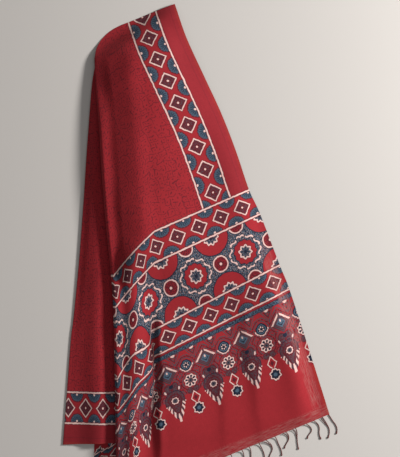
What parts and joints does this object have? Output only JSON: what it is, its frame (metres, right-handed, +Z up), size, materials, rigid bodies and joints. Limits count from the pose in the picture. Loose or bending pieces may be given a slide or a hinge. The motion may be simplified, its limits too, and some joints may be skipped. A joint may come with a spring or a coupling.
{
  "type": "folded ajrakh dupatta",
  "caption": "Long printed cotton scarf cloth, folded lengthwise and laid flat with its bordered front panel uppermost and a twisted fringe along the open end.",
  "frame": {"origin": "bottom centre of the box around the laid cloth, on the surface it rests on", "axes": "+Z up from the surface, +Y up the length towards the shoulder fold, +X across the front panel towards its selvedge"},
  "size_m": [0.5072, 1.0226, 0.0427],
  "materials": {
    "printed_cotton": "matte printed cotton",
    "twisted_thread": "matte twisted thread"
  },
  "bodies": {
    "root": {"cloth": "printed_cotton", "fringe": "twisted_thread"}
  },
  "joints": []
}
